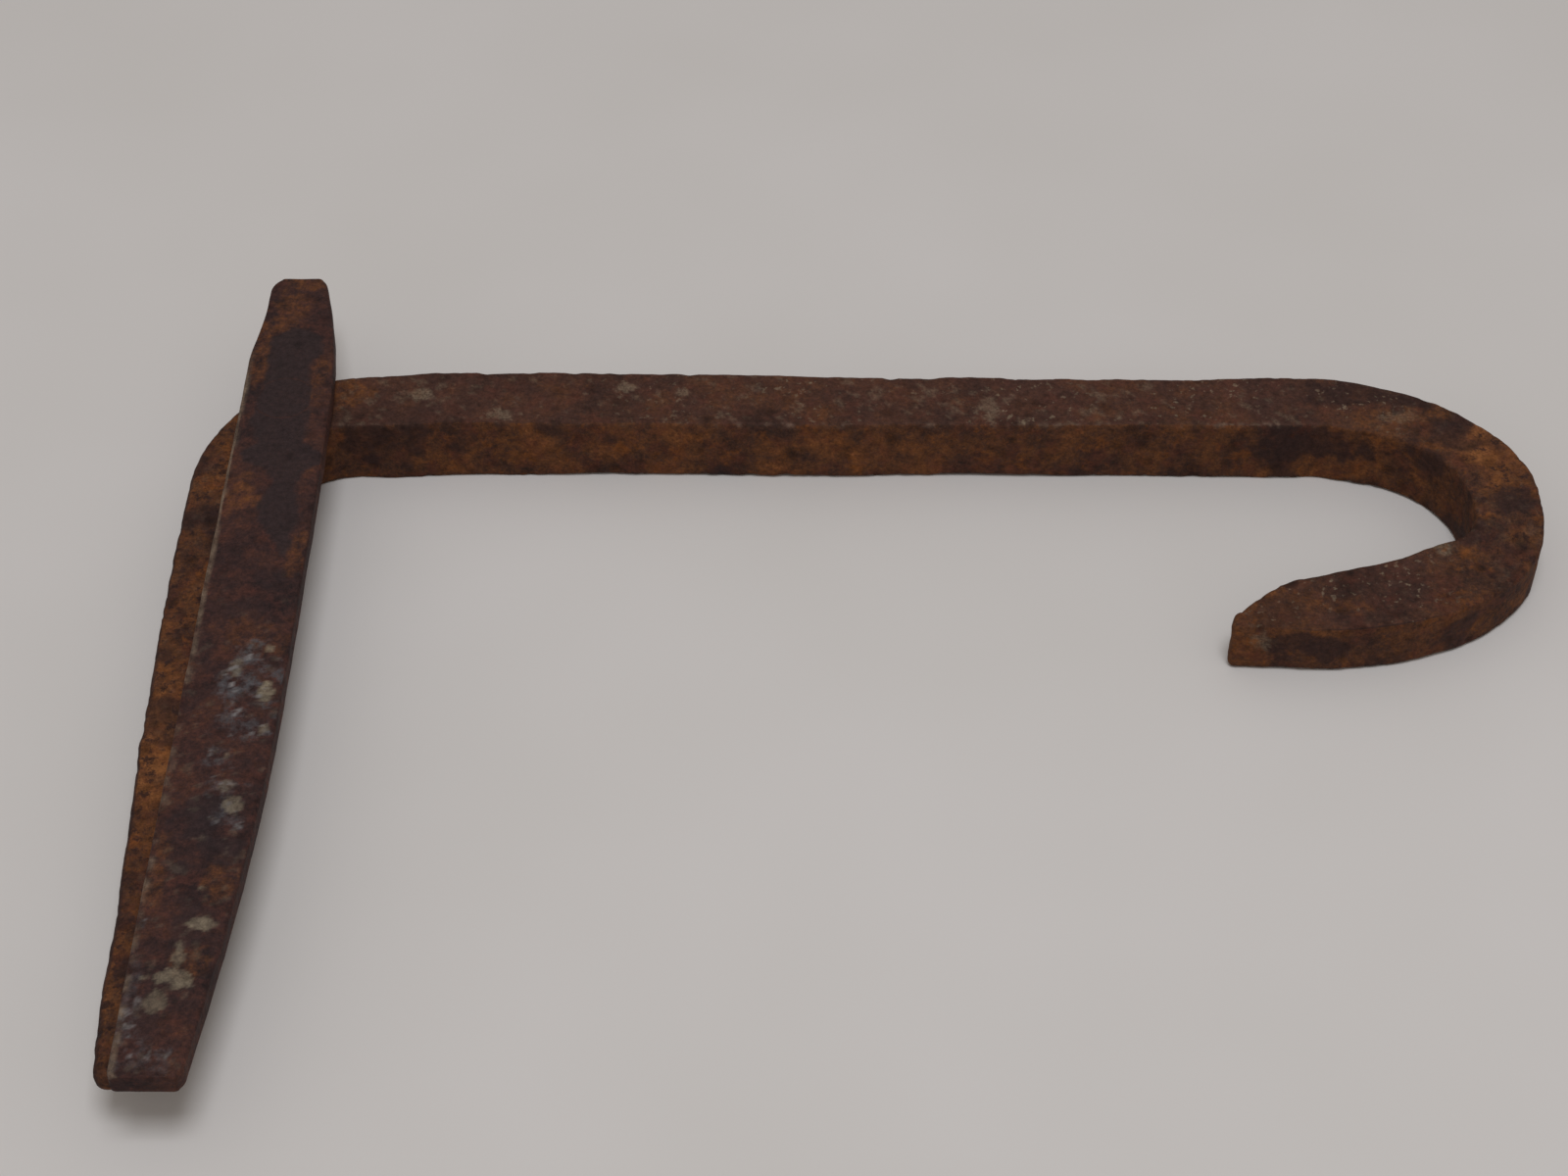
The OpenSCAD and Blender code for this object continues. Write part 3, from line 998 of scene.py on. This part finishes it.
class Nodes:
    """Short calls for building one material's node tree."""

    def __init__(self, name):
        self.material = bpy.data.materials.new(name)
        self.material.use_nodes = True
        self.tree = self.material.node_tree
        self.shader = self.tree.nodes["Principled BSDF"]
        self.place = self.tree.nodes.new("ShaderNodeTexCoord").outputs["Object"]

    def link(self, source, socket):
        """Joins an output to an input."""
        self.tree.links.new(source, socket)

    def mask(self, name):
        """The number that write_masks stored under this name."""
        node = self.tree.nodes.new("ShaderNodeAttribute")
        node.attribute_name = name
        return node.outputs["Fac"]

    def noise(self, size_mm, detail=4.0, rough=0.6):
        """Noise from 0 to 1 with blobs of about this size."""
        node = self.tree.nodes.new("ShaderNodeTexNoise")
        node.inputs["Scale"].default_value = MM / size_mm
        node.inputs["Detail"].default_value = detail
        node.inputs["Roughness"].default_value = rough
        self.link(self.place, node.inputs["Vector"])
        return node.outputs["Fac"]

    def shade(self, colour, value):
        """Multiplies a colour by a grey value."""
        node = self.tree.nodes.new("ShaderNodeVectorMath")
        node.operation = "SCALE"
        self.link(colour, node.inputs[0])
        self.link(value, node.inputs["Scale"])
        return node.outputs[0]

    def cells(self, size_mm):
        """Distance from the middle of the nearest of many cells, for grainy pits."""
        node = self.tree.nodes.new("ShaderNodeTexVoronoi")
        node.inputs["Scale"].default_value = MM / size_mm
        self.link(self.place, node.inputs["Vector"])
        return node.outputs["Distance"]

    def math(self, kind, a, b, c=None):
        """One step of arithmetic on outputs or plain numbers."""
        node = self.tree.nodes.new("ShaderNodeMath")
        node.operation = kind
        for socket, value in zip(node.inputs, (a, b, c)):
            if value is None:
                continue
            if isinstance(value, (int, float)):
                socket.default_value = value
            else:
                self.link(value, socket)
        return node.outputs[0]

    def spread(self, value, low, high, to_low=0.0, to_high=1.0):
        """Stretches the range low to high over to_low to to_high, and stops at both ends."""
        node = self.tree.nodes.new("ShaderNodeMapRange")
        self.link(value, node.inputs["Value"])
        limits = {"From Min": low, "From Max": high, "To Min": to_low, "To Max": to_high}
        for name, number in limits.items():
            node.inputs[name].default_value = number
        return node.outputs["Result"]

    def ramp(self, value, stops):
        """A colour from a list of places and colours."""
        node = self.tree.nodes.new("ShaderNodeValToRGB")
        points = node.color_ramp.elements
        while len(points) < len(stops):
            points.new(0.5)
        for point, (place, colour) in zip(points, stops):
            point.position = place
            point.color = colour
        self.link(value, node.inputs["Fac"])
        return node.outputs["Color"]

    def mix(self, share, under, over):
        """Lays one colour over another by a share from 0 to 1."""
        node = self.tree.nodes.new("ShaderNodeMix")
        node.data_type = "RGBA"
        self.link(share, node.inputs["Factor"])
        for name, value in (("A", under), ("B", over)):
            socket = [s for s in node.inputs if s.name == name and s.type == "RGBA"][0]
            if isinstance(value, tuple):
                socket.default_value = value
            else:
                self.link(value, socket)
        return [s for s in node.outputs if s.type == "RGBA"][0]

    def stain(self, colour, name, broken, paint):
        """Lays a paint colour where the named mask and the broken pattern both are."""
        return self.mix(self.math("MULTIPLY", self.mask(name), broken), colour, srgb(*paint))

    def bump(self, height, strength, distance_mm, under=None):
        """Fine relief from a height pattern, on top of the relief under it."""
        node = self.tree.nodes.new("ShaderNodeBump")
        node.inputs["Strength"].default_value = strength
        node.inputs["Distance"].default_value = distance_mm / MM
        self.link(height, node.inputs["Height"])
        if under is not None:
            self.link(under, node.inputs["Normal"])
        return node.outputs["Normal"]


def rusted_rod_material():
    """Orange-brown rust over forged iron, with violet-brown scale and painted sheen on the shank's top.
    """
    n = Nodes("rusted_rod")
    fine = n.noise(1.1, 6.0, 0.7)
    grain = n.noise(0.35, 3.0, 0.7)
    tone = n.math("ADD", n.mask("tone"), n.math("MULTIPLY_ADD", fine, 0.9, -0.45))
    tone = n.math("ADD", tone, n.math("MULTIPLY_ADD", grain, 0.9, -0.45))
    rust = n.ramp(tone, RUST_STOPS)
    broken = n.math("MULTIPLY", n.spread(fine, 0.36, 0.60), n.spread(grain, 0.25, 0.65, 0.35, 1.0))
    worn = n.spread(fine, 0.30, 0.55, 0.55, 1.0)
    grit = n.noise(0.8, 8.0, 0.85)
    rust = n.mix(n.spread(n.noise(3.0, 5.0, 0.7), 0.48, 0.66, 0.0, 0.55), rust, srgb(*RED_RUST))
    # Violet-brown scale with painted sheen on the top faces
    colour = n.stain(rust, "violet", 0.55, VIOLET_BROWN)
    colour = n.stain(colour, "ochre", broken, OCHRE)
    # Dark iron and painted shade, from the dark mask
    colour = n.stain(colour, "dark", worn, DARK_IRON_AND_SHADE)
    # Painted highlight along the shank's top front edge
    colour = n.mix(n.mask("ridge"), colour, srgb(*RIDGE_HIGHLIGHT))
    colour = n.stain(colour, "pale", n.spread(grain, 0.36, 0.58, 0.3, 1.0), PALE)
    colour = n.stain(colour, "flecks", n.spread(n.noise(0.9, 3.0, 0.6), 0.615, 0.68, 0.0, 0.7), PALE)
    bright = n.spread(n.noise(3.4, 8.0, 0.75), 0.55, 0.64, 0.0, 0.6)
    colour = n.stain(colour, "bloom", bright, BRIGHT_RUST)
    colour = n.stain(colour, "coarse", n.spread(n.noise(1.3, 6.0, 0.75), 0.52, 0.60), DARK_IRON_AND_SHADE)
    colour = n.shade(colour, n.spread(grit, 0.38, 0.62, 0.68, 1.42))
    # Painted shade in the pits, darker the deeper they are
    colour = n.shade(colour, n.spread(n.mask("pit"), 0.0, 1.0, 1.0, 0.62))
    n.link(colour, n.shader.inputs["Base Color"])
    smoother = n.math("MULTIPLY", n.mask("dark"), 0.12)
    rough = n.math("SUBTRACT", n.spread(fine, 0.2, 0.8, 0.68, 0.92), smoother)
    n.link(rough, n.shader.inputs["Roughness"])
    pits = n.spread(n.cells(0.9), 0.0, 0.45)
    shape = n.bump(n.math("MULTIPLY_ADD", fine, 0.8, n.math("MULTIPLY", pits, 0.25)), 0.8, 0.30)
    n.link(n.bump(grain, 0.6, 0.10, shape), n.shader.inputs["Normal"])
    n.shader.inputs["Specular IOR Level"].default_value = 0.12
    return n.material


def scaled_toggle_material(name):
    """Maroon rust with black forging scale, blotches of old pale paint and a pale bevel, partly worn and
    partly painted light.
    """
    n = Nodes(name)
    fine = n.noise(1.3, 6.0, 0.7)
    grain = n.noise(0.35, 3.0, 0.7)
    tone = n.math("ADD", n.mask("tone"), n.math("MULTIPLY_ADD", fine, 0.8, -0.4))
    tone = n.math("ADD", tone, n.math("MULTIPLY_ADD", grain, 0.8, -0.4))
    colour = n.ramp(tone, MAROON_STOPS)
    colour = n.mix(n.spread(n.noise(3.2, 5.0, 0.7), 0.50, 0.66, 0.0, 0.3), colour, srgb(*RED_RUST))
    broken = n.math("MULTIPLY", n.spread(fine, 0.36, 0.62), n.spread(grain, 0.25, 0.65, 0.3, 1.0))
    colour = n.stain(colour, "ochre", broken, OCHRE)
    colour = n.stain(colour, "dark", n.spread(grain, 0.3, 0.6, 0.72, 1.0), BLACK_SCALE)
    # Bluish grey dust with painted sheen
    colour = n.stain(colour, "haze", n.spread(fine, 0.42, 0.62), DUST_AND_SHEEN)
    # Worn pale edge with painted light on the upper left bevel
    colour = n.stain(colour, "bevel", n.spread(grain, 0.25, 0.6, 0.5, 1.0), BEVEL_WEAR_AND_LIGHT)
    colour = n.stain(colour, "pale", n.spread(fine, 0.35, 0.55, 0.45, 1.0), PAINT)
    colour = n.mix(n.mask("glint"), colour, srgb(*GLINT))
    colour = n.shade(colour, n.spread(n.noise(0.8, 8.0, 0.85), 0.38, 0.62, 0.70, 1.38))
    # Painted shade in the pits, darker the deeper they are
    colour = n.shade(colour, n.spread(n.mask("pit"), 0.0, 1.0, 1.0, 0.7))
    n.link(colour, n.shader.inputs["Base Color"])
    smoother = n.math("MULTIPLY", n.mask("scale"), 0.12)
    rough = n.math("SUBTRACT", n.spread(fine, 0.2, 0.8, 0.60, 0.85), smoother)
    n.link(rough, n.shader.inputs["Roughness"])
    pits = n.spread(n.cells(1.1), 0.0, 0.45)
    shape = n.bump(n.math("MULTIPLY_ADD", fine, 0.8, n.math("MULTIPLY", pits, 0.2)), 0.6, 0.22)
    n.link(n.bump(grain, 0.5, 0.08, shape), n.shader.inputs["Normal"])
    n.shader.inputs["Specular IOR Level"].default_value = 0.15
    return n.material


# Colours as a screen shows them, 0 to 255
# Violet-brown of scale with painted sheen
VIOLET_BROWN = (80, 53, 46)
RED_RUST = (92, 50, 38)
GLINT = (128, 124, 124)
# Painted edge highlight
RIDGE_HIGHLIGHT = (112, 92, 80)
OCHRE = (114, 70, 38)
# Dark iron, also used as painted shade on the rod
DARK_IRON_AND_SHADE = (50, 34, 32)
PALE = (126, 110, 92)
BLACK_SCALE = (50, 38, 39)
# Bluish grey of dust with painted sheen
DUST_AND_SHEEN = (82, 82, 86)
BRIGHT_RUST = (120, 70, 32)
# Pale of a worn edge with painted light
BEVEL_WEAR_AND_LIGHT = (124, 106, 90)
PAINT = (130, 118, 100)
RUST_STOPS = (
    (0.0, srgb(52, 37, 33)),
    (0.3, srgb(72, 48, 38)),
    (0.55, srgb(91, 58, 38)),
    (0.78, srgb(110, 68, 40)),
    (1.0, srgb(134, 86, 50)),
)
MAROON_STOPS = (
    (0.0, srgb(42, 31, 32)),
    (0.32, srgb(60, 40, 38)),
    (0.58, srgb(76, 48, 40)),
    (0.8, srgb(96, 60, 40)),
    (1.0, srgb(118, 78, 50)),
)
PAPER = (217, 213, 211)
LIGHT_PAPER = (221, 217, 216)


def floor_material():
    """A plain pale paper backdrop."""
    n = Nodes("backdrop_paper")
    tone = n.spread(n.noise(60.0, 2.0), 0.3, 0.7, 0.0, 1.0)
    n.link(n.mix(tone, srgb(*PAPER), srgb(*LIGHT_PAPER)), n.shader.inputs["Base Color"])
    n.shader.inputs["Roughness"].default_value = 0.9
    n.shader.inputs["Specular IOR Level"].default_value = 0.1
    return n.material


# -------- scene


# The floor's side and the lamp's place, aim and side in metres, and its power in watts
FLOOR_SIZE = 6.0
LAMP_PLACE = (0.03, -0.26, 0.9)
LAMP_AIM = (0, 0, 0)
LAMP_SIZE = 0.34
LAMP_POWER = 3.4
LAMP_COLOUR = (0.94, 0.97, 1.0)
WORLD_COLOUR = (1.0, 0.94, 0.87, 1)
WORLD_STRENGTH = 0.36
# The camera's place in metres, how far it looks down in degrees, and its lens in millimetres
CAMERA_PLACE = (-0.01005, -0.2392, 0.2597)
LOOKS_DOWN = 45.2
LENS = 65.61
SENSOR = 36


def finish_piece(piece, material, body, node):
    """Turns the piece into metres and tells the frame what it stands for."""
    move_points(piece, points_of(piece) / MM)
    piece.data.materials.clear()
    piece.data.materials.append(material)
    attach(piece, body)
    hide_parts(node)


def add_floor():
    """A floor that reaches well past the view."""
    bpy.ops.mesh.primitive_plane_add(size=FLOOR_SIZE, location=(0, 0, 0))
    floor = bpy.context.object
    floor.name = "backdrop"
    floor.data.materials.append(floor_material())


def add_light(name, place, aim, size, power):
    """A square soft box that faces a point."""
    lamp = bpy.data.lights.new(name, "AREA")
    lamp.shape = "SQUARE"
    lamp.size = size
    lamp.energy = power
    lamp.color = LAMP_COLOUR
    holder = bpy.data.objects.new(name, lamp)
    bpy.context.scene.collection.objects.link(holder)
    holder.location = place
    direction = np.array(aim) - np.array(place)
    holder.rotation_euler = (
        math.atan2(math.hypot(direction[0], direction[1]), -direction[2]),
        0,
        math.atan2(direction[0], -direction[1]) + math.pi,
    )


def add_world(strength):
    """Even light from all sides."""
    world = bpy.data.worlds.new("studio")
    bpy.context.scene.world = world
    world.use_nodes = True
    back = world.node_tree.nodes["Background"]
    back.inputs["Color"].default_value = WORLD_COLOUR
    back.inputs["Strength"].default_value = strength


def add_camera():
    """The viewpoint: in front of the latch, looking down at about 45 degrees."""
    lens = bpy.data.cameras.new("view")
    camera = bpy.data.objects.new("view", lens)
    bpy.context.scene.collection.objects.link(camera)
    camera.location = CAMERA_PLACE
    camera.rotation_euler = (math.radians(90 - LOOKS_DOWN), 0, 0)
    lens.lens = LENS
    lens.sensor_width = SENSOR
    bpy.context.scene.camera = camera


rod = build_rod()
toggle = build_toggle()
rivet = build_rivet()
cut(rod, revolve("rod_bore", rod_bore_profile()))
rod_masks(rod)
toggle_masks(toggle)
toggle_masks(rivet)
finish_piece(rod, rusted_rod_material(), "rod", "hook_rod")
finish_piece(toggle, scaled_toggle_material("scaled_toggle"), "toggle", "toggle_bar")
finish_piece(rivet, scaled_toggle_material("rivet_iron"), "rod", "pivot_rivet")
add_floor()
add_world(WORLD_STRENGTH)
add_light("overhead", LAMP_PLACE, LAMP_AIM, LAMP_SIZE, LAMP_POWER)
add_camera()
bpy.context.scene.view_settings.view_transform = "Standard"
